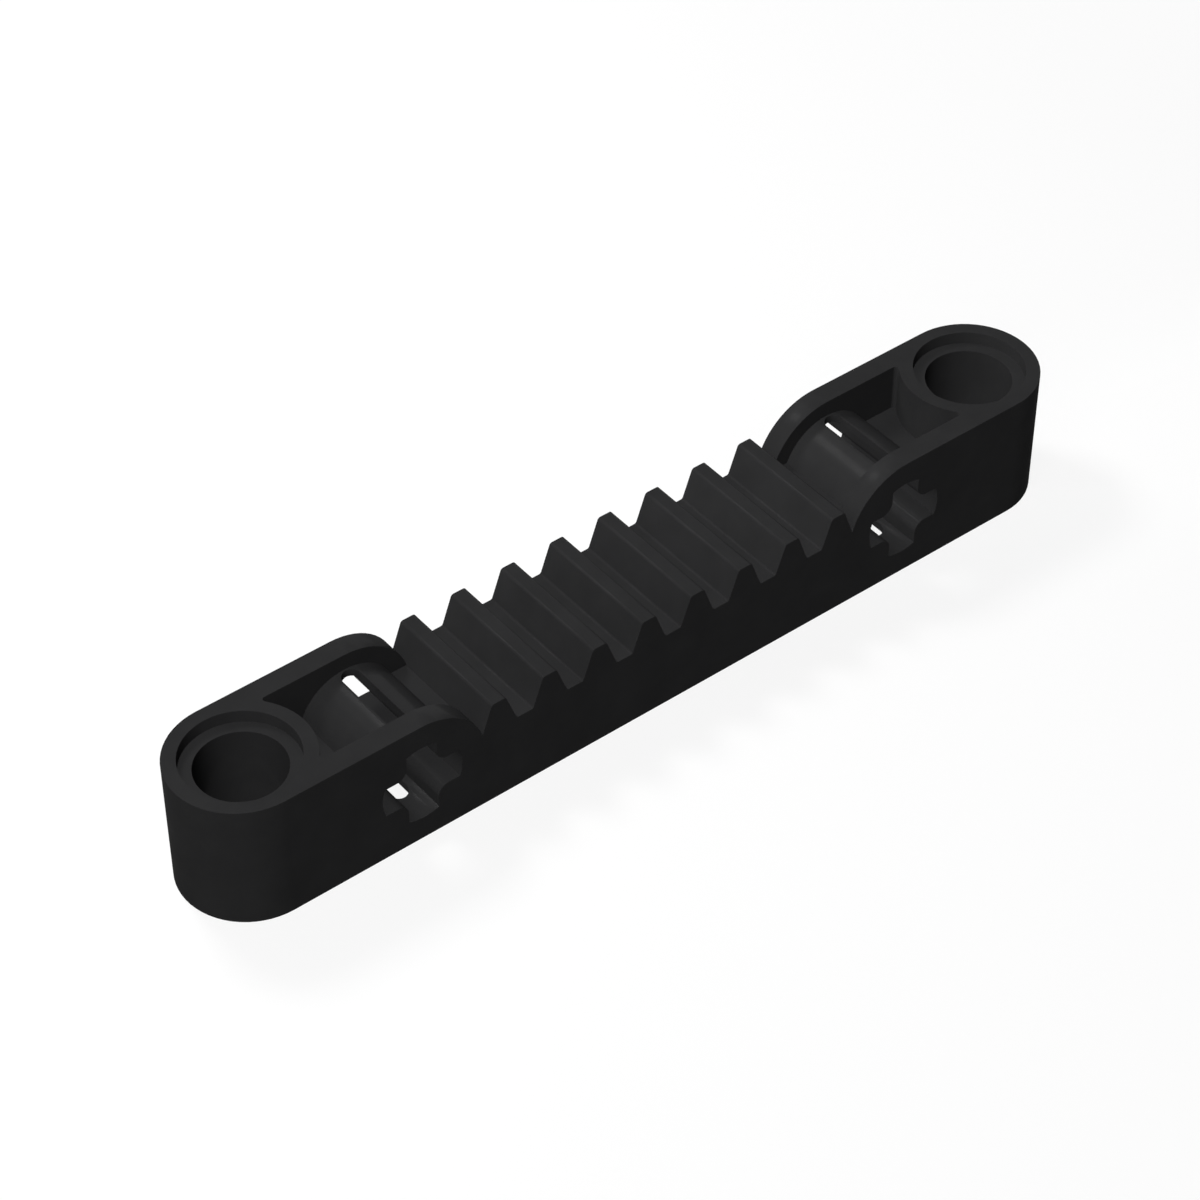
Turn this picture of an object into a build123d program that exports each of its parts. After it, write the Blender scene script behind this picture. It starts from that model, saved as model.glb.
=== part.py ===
from build123d import *
import math
import os

# A straight toothed rack moulded in one piece, for building kits on an 8 mm grid.
# Frame: X along the rack, Y across the teeth, Z up. The origin is the centre of the
# underside. All sizes are millimetres and degrees.

# Beam
pin_spacing = 48.0
beam_width = 7.75
beam_height = 7.75

# Upright pin bore at each end, with a shallow counterbore at both faces
pin_bore_radius = 2.4
counterbore_radius = 3.1
counterbore_depth = 0.75

# Cross-shaped axle hole through each end block, along Y
axle_inset = 8.0
axle_tip_radius = 2.45
axle_arm_width = 1.84
axle_corner_radius = 0.65

# Hollow end block: two side walls, a level web and a tube around the axle hole
side_wall = 1.24
web_thickness = 1.92
hollow_corner_radius = 0.18
tube_wall = 0.45
tube_slot_width = 1.1
upper_slot_end_gap = 0.11
lower_slot_end_gap = 0.49

# Teeth
tooth_pitch = 3.2
tooth_root_height = 4.84
tooth_tip_height = 6.64
tooth_crest_width = 0.86
tooth_flank_angle = 20.0
tooth_edge_radius = 0.2
tooth_root_radius = 0.15
tooth_end_overlap = 0.1

# Places that follow from the sizes above
pin_x = pin_spacing / 2
axle_x = pin_x - axle_inset
axle_height = beam_height / 2
ear_radius = beam_height / 2
inner_width = beam_width - 2 * side_wall
tube_radius = axle_tip_radius + tube_wall
web_bottom = tooth_root_height - web_thickness
ear_foot_x = axle_x - math.sqrt(ear_radius**2 - (tooth_root_height - axle_height) ** 2)

# Tooth row: as many teeth as fit between the feet of the two ears
tooth_depth = tooth_tip_height - tooth_root_height
tooth_foot_width = tooth_crest_width + 2 * tooth_depth * math.tan(math.radians(tooth_flank_angle))
tooth_row_room = 2 * (ear_foot_x + tooth_end_overlap) - tooth_foot_width
tooth_count = int(tooth_row_room / tooth_pitch) + 1


def along_x(half_length, bottom, top):
    """A block across the whole width, from -half_length to half_length."""
    return Pos(0, 0, bottom) * Box(
        2 * half_length, beam_width, top - bottom, align=(Align.CENTER, Align.CENTER, Align.MIN)
    )


def across(profile, width):
    """A side view, drawn in X and Z, made solid across Y."""
    return extrude(Plane.XZ * profile, amount=width / 2, both=True)


def beam_prism(height):
    """The outline seen from above, a long bar with round ends, made solid from the underside."""
    return extrude(SlotCenterToCenter(pin_spacing, beam_width), amount=height)


def toothed_strip():
    """Side view of the middle of the rack: the strip under the teeth and the teeth on it."""
    strip = Pos(0, tooth_root_height / 2) * Rectangle(2 * axle_x, tooth_root_height)
    tooth = Polygon(
        (-tooth_foot_width / 2, tooth_root_height),
        (tooth_foot_width / 2, tooth_root_height),
        (tooth_crest_width / 2, tooth_tip_height),
        (-tooth_crest_width / 2, tooth_tip_height),
        align=None,
    )
    first_x = -(tooth_count - 1) * tooth_pitch / 2
    for index in range(tooth_count):
        strip += Pos(first_x + index * tooth_pitch, 0) * tooth
    crests = [v for v in strip.vertices() if v.Y > tooth_tip_height - tooth_depth / 2]
    strip = fillet(crests, tooth_edge_radius)
    roots = [
        v for v in strip.vertices()
        if abs(v.Y - tooth_root_height) < tooth_depth / 4 and abs(v.X) < abs(first_x)
    ]
    return fillet(roots, tooth_root_radius)


def ear_view(side):
    """Side view of an end block above the web: square at the end, round towards the teeth."""
    round_part = Pos(side * axle_x, axle_height) * Circle(ear_radius)
    square_length = beam_width / 2 + axle_inset
    square_part = Pos(side * (axle_x + square_length / 2), beam_height / 2) * Rectangle(
        square_length, beam_height
    )
    return round_part + square_part


def end_hollow(side, bottom, top):
    """The space between the side walls, from the teeth to the round boss of the pin bore."""
    length = pin_x - ear_foot_x
    outline = Pos(side * (pin_x + ear_foot_x) / 2, 0) * Rectangle(length, inner_width)
    outline -= Pos(side * pin_x, 0) * Circle(beam_width / 2)
    beside_boss = [v for v in outline.vertices() if abs(v.X) > axle_x]
    outline = fillet(beside_boss, hollow_corner_radius)
    return extrude(Pos(0, 0, bottom) * outline, amount=top - bottom)


def end_walls(side):
    """The two side walls and the boss above the web."""
    block = across(ear_view(side), beam_width) & beam_prism(beam_height)
    above_web = along_x(pin_spacing, tooth_root_height, beam_height)
    return (block & above_web) - end_hollow(side, tooth_root_height, beam_height)


def axle_tube(side):
    """The tube that carries the axle hole from one side wall to the other."""
    return across(Pos(side * axle_x, axle_height) * Circle(tube_radius), beam_width - side_wall)


def axle_cross():
    """The cross-shaped section of the axle hole, with rounded inner corners."""
    reach = 2 * axle_tip_radius + 1
    cross = Rectangle(axle_arm_width, reach) + Rectangle(reach, axle_arm_width)
    inner = [v for v in cross.vertices() if max(abs(v.X), abs(v.Y)) < axle_arm_width]
    return fillet(inner, axle_corner_radius) & Circle(axle_tip_radius)


def tube_slot(side, end_gap, bottom):
    """A round-ended slot that reaches up from that height by the tube's radius."""
    outline = SlotOverall(inner_width - 2 * end_gap, tube_slot_width, rotation=90)
    return extrude(Pos(side * axle_x, 0, bottom) * outline, amount=tube_radius)


def axle_cut(side):
    """The axle hole, with the two slots that open its tube above and below."""
    hole = across(Pos(side * axle_x, axle_height) * axle_cross(), beam_width)
    hole += tube_slot(side, upper_slot_end_gap, axle_height)
    hole += tube_slot(side, lower_slot_end_gap, axle_height - tube_radius)
    return hole


def pin_cut(side):
    """The upright pin bore with its two counterbores."""
    axis = Pos(side * pin_x, 0, 0)
    bore = axis * Cylinder(
        pin_bore_radius, beam_height, align=(Align.CENTER, Align.CENTER, Align.MIN)
    )
    for bottom in (0, beam_height - counterbore_depth):
        bore += axis * Pos(0, 0, bottom) * Cylinder(
            counterbore_radius, counterbore_depth, align=(Align.CENTER, Align.CENTER, Align.MIN)
        )
    return bore


def gear_rack():
    """The whole moulding as one solid."""
    rack = beam_prism(tooth_root_height) + across(toothed_strip(), beam_width)
    for side in (-1, 1):
        rack += end_walls(side)
        rack -= end_hollow(side, 0, web_bottom)
        rack += axle_tube(side)
    for side in (-1, 1):
        rack -= axle_cut(side)
        rack -= pin_cut(side)
    return rack


os.makedirs("parts", exist_ok=True)
export_step(gear_rack(), "parts/gear_rack.step")
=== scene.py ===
import math

import bpy
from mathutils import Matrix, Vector


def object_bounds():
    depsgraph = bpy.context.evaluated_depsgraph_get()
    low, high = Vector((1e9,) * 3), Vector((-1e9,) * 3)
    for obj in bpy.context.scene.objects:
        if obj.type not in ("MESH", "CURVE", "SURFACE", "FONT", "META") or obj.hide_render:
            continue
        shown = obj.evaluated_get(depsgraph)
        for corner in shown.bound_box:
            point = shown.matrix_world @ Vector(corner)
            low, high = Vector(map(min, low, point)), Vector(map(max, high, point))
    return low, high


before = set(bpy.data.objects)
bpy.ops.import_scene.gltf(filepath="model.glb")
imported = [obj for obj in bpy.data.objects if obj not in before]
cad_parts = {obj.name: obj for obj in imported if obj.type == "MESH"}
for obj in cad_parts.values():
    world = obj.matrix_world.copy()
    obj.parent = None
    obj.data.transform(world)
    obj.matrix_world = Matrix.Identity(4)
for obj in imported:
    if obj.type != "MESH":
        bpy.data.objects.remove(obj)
cad_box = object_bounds()

MM = 0.001
PART_CENTRE = (cad_box[0] + cad_box[1]) / 2

# Camera of the photograph: the point it aims at, and from there its heading, its elevation and its
# distance. A heading is in degrees from +Y towards +X, and an elevation in degrees above the level.
CAMERA_AIM = Vector((-0.85, 1.15, 3.875)) * MM
CAMERA_HEADING = 218.2
CAMERA_ELEVATION = 43.06
CAMERA_DISTANCE = 182.2 * MM
LENS = 104.13
SENSOR = 36.0
CLIP_START = 10 * MM
CLIP_END = 10000 * MM

# Watts at which an area lamp and a spot, one metre away, light a white face that is turned to them
# to level 1, which is plain white
AREA_LAMP_POWER = math.pi**2
SPOT_LAMP_POWER = 4 * math.pi**2

# Studio: square soft boxes round the part, and a faint grey sky before a white backdrop. Each box
# has its heading, its elevation, its distance and size in millimetres, the level of its light on a
# white face that is turned to it, and whether it casts shadows.
SOFT_BOXES = {
    "key_box": (236, 41, 500, 280, 0.10, True),
    "key_fill": (236, 41, 500, 280, 0.75, False),
    "back_fill": (347, 55.4, 500, 300, 0.46, False),
    "low_fill": (42, 12, 500, 280, 0.26, False),
    "highlight_box": (347, 55.4, 137.4, 32, 0.26, True),
}
SKY_GREY = (0.03, 0.03, 0.03, 1.0)
BACKDROP = (1.0, 1.0, 1.0, 1.0)

# Side spot: a narrow beam from the -X side, without shadow or gloss, that reaches only the end
# block at +X and the teeth next to it. It aims at the middle of that block, and its reach is the
# beam's radius there.
SPOT_AIM = Vector((20, 0, 6)) * MM
SPOT_HEADING = 285
SPOT_ELEVATION = 15
SPOT_DISTANCE = 500 * MM
SPOT_REACH = 9 * MM
SPOT_RADIUS = 5 * MM
SPOT_BLEND = 0.5
SPOT_LEVEL = 0.27

# Floor: white paper, which keeps the part's shadow near it and is plain white further out. Its glow
# is the share of its white that is its own light.
FLOOR_SIZE = 4000 * MM
FLOOR_COLOUR = (0.95, 0.95, 0.95, 1.0)
FLOOR_BOUNCE = (0.08, 0.08, 0.08, 1.0)
SHADOW_REACH = 55 * MM
PLAIN_REACH = 110 * MM
GLOW_NEAR = 0.6
GLOW_FAR = 1.0

# Moulded plastic: a matt black body under a thin skin that carries the gloss
PLASTIC_DARK = (0.0220, 0.0220, 0.0226, 1.0)
PLASTIC_LIGHT = (0.0256, 0.0256, 0.0262, 1.0)
BODY_GLOSS = 0.0
ROUGHNESS_LOW = 0.50
ROUGHNESS_HIGH = 0.68
SKIN_WEIGHT_LOW = 0.018
SKIN_WEIGHT_HIGH = 0.024
SKIN_ROUGHNESS = 0.16

# Unevenness of the plastic. Each noise has the size of its features in millimetres and its detail,
# and each bump has its depth in millimetres and its strength.
TONE_NOISE = (2.2, 4)
ROUGHNESS_NOISE = (0.8, 5)
SKIN_NOISE = (1.3, 3)
WAVE_NOISE = (3.5, 1)
WAVE_BUMP = (0.04, 0.2)
GRAIN_NOISE = (0.11, 3)
GRAIN_BUMP = (0.008, 0.35)
NOISE_ROUGHNESS = 0.55
NOISE_LOW = 0.3
NOISE_HIGH = 0.7

# Moulded radius of every edge that turns by more than the angle
EDGE_ROUNDING = 0.07 * MM
EDGE_ANGLE = 30
EDGE_SEGMENTS = 3
WELD_DISTANCE = 0.0001 * MM
NORMALS_WEIGHT = 50


def node(tree, kind, inputs=None, **settings):
    """Adds a shader node, sets its properties and its unlinked inputs."""
    made = tree.nodes.new(kind)
    for name, value in settings.items():
        setattr(made, name, value)
    for name, value in (inputs or {}).items():
        made.inputs[name].default_value = value
    return made


def new_material(name):
    """An empty node material and its output node."""
    material = bpy.data.materials.new(name)
    material.use_nodes = True
    material.node_tree.nodes.clear()
    return material, node(material.node_tree, "ShaderNodeOutputMaterial")


def mix(tree, factor, first, second):
    """Blends two shaders: the first where the factor is 0, and the second where it is 1."""
    made = node(tree, "ShaderNodeMixShader")
    tree.links.new(factor, made.inputs["Fac"])
    tree.links.new(first, made.inputs[1])
    tree.links.new(second, made.inputs[2])
    return made.outputs["Shader"]


def noise(tree, feature, detail):
    """Noise in the part's own frame, whose features are about that many millimetres across."""
    place = node(tree, "ShaderNodeTexCoord")
    made = node(
        tree, "ShaderNodeTexNoise",
        {"Scale": 1 / (feature * MM), "Detail": detail, "Roughness": NOISE_ROUGHNESS},
    )
    tree.links.new(place.outputs["Object"], made.inputs["Vector"])
    return made.outputs["Fac"]


def remap(tree, value, low, high):
    """Stretches the middle of a noise over low to high."""
    made = node(
        tree, "ShaderNodeMapRange",
        {"From Min": NOISE_LOW, "From Max": NOISE_HIGH, "To Min": low, "To Max": high},
    )
    tree.links.new(value, made.inputs["Value"])
    return made.outputs["Result"]


def bump(tree, height, depth, strength, under=None):
    """A bump of that depth in millimetres, on top of another one."""
    made = node(tree, "ShaderNodeBump", {"Strength": strength, "Distance": depth * MM})
    tree.links.new(height, made.inputs["Height"])
    if under is not None:
        tree.links.new(under, made.inputs["Normal"])
    return made.outputs["Normal"]


def moulded_plastic():
    """Black moulded plastic: a fine eroded grain, faint flow waves and an uneven glossy skin."""
    material, output = new_material("moulded_black_plastic")
    tree = material.node_tree
    shader = node(
        tree, "ShaderNodeBsdfPrincipled",
        {"Specular IOR Level": BODY_GLOSS, "Coat Roughness": SKIN_ROUGHNESS},
    )

    tone = node(tree, "ShaderNodeMix", {"A": PLASTIC_DARK, "B": PLASTIC_LIGHT}, data_type="RGBA")
    tree.links.new(remap(tree, noise(tree, *TONE_NOISE), 0, 1), tone.inputs["Factor"])
    tree.links.new(tone.outputs["Result"], shader.inputs["Base Color"])

    sheen = remap(tree, noise(tree, *ROUGHNESS_NOISE), ROUGHNESS_LOW, ROUGHNESS_HIGH)
    tree.links.new(sheen, shader.inputs["Roughness"])
    skin = remap(tree, noise(tree, *SKIN_NOISE), SKIN_WEIGHT_LOW, SKIN_WEIGHT_HIGH)
    tree.links.new(skin, shader.inputs["Coat Weight"])

    waves = bump(tree, noise(tree, *WAVE_NOISE), *WAVE_BUMP)
    tree.links.new(waves, shader.inputs["Coat Normal"])
    grain = bump(tree, noise(tree, *GRAIN_NOISE), *GRAIN_BUMP, under=waves)
    tree.links.new(grain, shader.inputs["Normal"])

    tree.links.new(shader.outputs["BSDF"], output.inputs["Surface"])
    return material


def round_edges(piece):
    """Joins the faces at their edges, then gives every sharp edge a moulded radius."""
    weld = piece.modifiers.new("weld", "WELD")
    weld.merge_threshold = WELD_DISTANCE
    bevel = piece.modifiers.new("edge_radius", "BEVEL")
    bevel.limit_method = "ANGLE"
    bevel.angle_limit = math.radians(EDGE_ANGLE)
    bevel.offset_type = "OFFSET"
    bevel.width = EDGE_ROUNDING
    bevel.segments = EDGE_SEGMENTS
    bevel.miter_outer = "MITER_ARC"
    bevel.harden_normals = True
    normals = piece.modifiers.new("normals", "WEIGHTED_NORMAL")
    normals.keep_sharp = False
    normals.weight = NORMALS_WEIGHT


def dress_rack():
    """The one moulding, with its plastic and its rounded edges."""
    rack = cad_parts["gear_rack"]
    rack.data.materials.clear()
    rack.data.materials.append(moulded_plastic())
    round_edges(rack)


def seen_directly(tree):
    """1 for rays from the camera, mirrors and glass, and 0 for the light that bounces."""
    path = node(tree, "ShaderNodeLightPath")
    seen = path.outputs["Is Camera Ray"]
    for kind in ("Is Glossy Ray", "Is Transmission Ray"):
        either = node(tree, "ShaderNodeMath", operation="MAXIMUM")
        tree.links.new(seen, either.inputs[0])
        tree.links.new(path.outputs[kind], either.inputs[1])
        seen = either.outputs[0]
    return seen


def floor_glow(tree):
    """How much of the floor's white is its own: less near the part, so that its shadow shows."""
    place = node(tree, "ShaderNodeTexCoord")
    distance = node(tree, "ShaderNodeVectorMath", operation="LENGTH")
    tree.links.new(place.outputs["Object"], distance.inputs[0])
    fade = node(
        tree, "ShaderNodeMapRange",
        {"From Min": SHADOW_REACH, "From Max": PLAIN_REACH, "To Min": GLOW_NEAR, "To Max": GLOW_FAR},
        interpolation_type="SMOOTHSTEP",
    )
    tree.links.new(distance.outputs["Value"], fade.inputs["Value"])
    return fade.outputs["Result"]


def make_floor():
    """A plain pale floor under the part, which keeps the part's shadow."""
    bpy.ops.mesh.primitive_plane_add(size=FLOOR_SIZE)
    floor = bpy.context.object
    floor.name = "floor"
    material, output = new_material("floor_paper")
    tree = material.node_tree
    paper = node(tree, "ShaderNodeBsdfDiffuse", {"Color": FLOOR_COLOUR})
    glow = node(tree, "ShaderNodeEmission", {"Color": BACKDROP, "Strength": 1.0})
    bounce = node(tree, "ShaderNodeBsdfDiffuse", {"Color": FLOOR_BOUNCE})
    pale = mix(tree, floor_glow(tree), paper.outputs["BSDF"], glow.outputs["Emission"])
    shown = mix(tree, seen_directly(tree), bounce.outputs["BSDF"], pale)
    tree.links.new(shown, output.inputs["Surface"])
    floor.data.materials.append(material)


def make_world():
    """A grey sky that lights the part, and a white backdrop where the camera sees it."""
    world = bpy.data.worlds.new("studio")
    bpy.context.scene.world = world
    world.use_nodes = True
    tree = world.node_tree
    tree.nodes.clear()
    output = node(tree, "ShaderNodeOutputWorld")
    sky = node(tree, "ShaderNodeBackground", {"Color": SKY_GREY, "Strength": 1.0})
    white = node(tree, "ShaderNodeBackground", {"Color": BACKDROP, "Strength": 1.0})
    shown = mix(tree, seen_directly(tree), sky.outputs["Background"], white.outputs["Background"])
    tree.links.new(shown, output.inputs["Surface"])


def direction(heading, elevation):
    """The unit vector that points to a heading and an elevation, both in degrees."""
    heading = math.radians(heading)
    elevation = math.radians(elevation)
    return Vector((
        math.sin(heading) * math.cos(elevation),
        math.cos(heading) * math.cos(elevation),
        math.sin(elevation),
    ))


def add_facing(name, data, aim, towards):
    """Adds a lamp or camera, away from its aim by a vector and turned to face it."""
    holder = bpy.data.objects.new(name, data)
    holder.location = aim + towards
    holder.rotation_euler = towards.to_track_quat("Z", "Y").to_euler()
    bpy.context.collection.objects.link(holder)
    return holder


def make_soft_boxes():
    """The fills cast no shadow, so the part's hollows stay readable; the other two do."""
    for name, (heading, elevation, distance, size, level, casts_shadow) in SOFT_BOXES.items():
        towards = direction(heading, elevation) * distance * MM
        lamp = bpy.data.lights.new(name, "AREA")
        lamp.shape = "SQUARE"
        lamp.size = size * MM
        lamp.energy = level * AREA_LAMP_POWER * towards.length_squared
        lamp.use_shadow = casts_shadow
        add_facing(name, lamp, PART_CENTRE, towards)


def make_side_spot():
    """The narrow beam that brightens the walls of the hollows in the end block at +X."""
    lamp = bpy.data.lights.new("side_spot", "SPOT")
    lamp.energy = SPOT_LEVEL * SPOT_LAMP_POWER * SPOT_DISTANCE**2
    lamp.spot_size = 2 * math.atan(SPOT_REACH / SPOT_DISTANCE)
    lamp.spot_blend = SPOT_BLEND
    lamp.shadow_soft_size = SPOT_RADIUS
    lamp.use_shadow = False
    towards = direction(SPOT_HEADING, SPOT_ELEVATION) * SPOT_DISTANCE
    spot = add_facing("side_spot", lamp, SPOT_AIM, towards)
    spot.visible_glossy = False


def make_camera():
    """The photograph's camera."""
    data = bpy.data.cameras.new("camera")
    data.sensor_width = SENSOR
    data.lens = LENS
    data.clip_start = CLIP_START
    data.clip_end = CLIP_END
    back = direction(CAMERA_HEADING, CAMERA_ELEVATION) * CAMERA_DISTANCE
    bpy.context.scene.camera = add_facing("camera", data, CAMERA_AIM, back)


def clear_start_scene():
    """Removes the start-up cube, lamp and camera."""
    for name in ("Cube", "Light", "Camera"):
        found = bpy.data.objects.get(name)
        if found is not None:
            bpy.data.objects.remove(found)


clear_start_scene()
make_camera()
make_world()
make_soft_boxes()
make_side_spot()
make_floor()
dress_rack()
bpy.context.scene.view_settings.view_transform = "Standard"
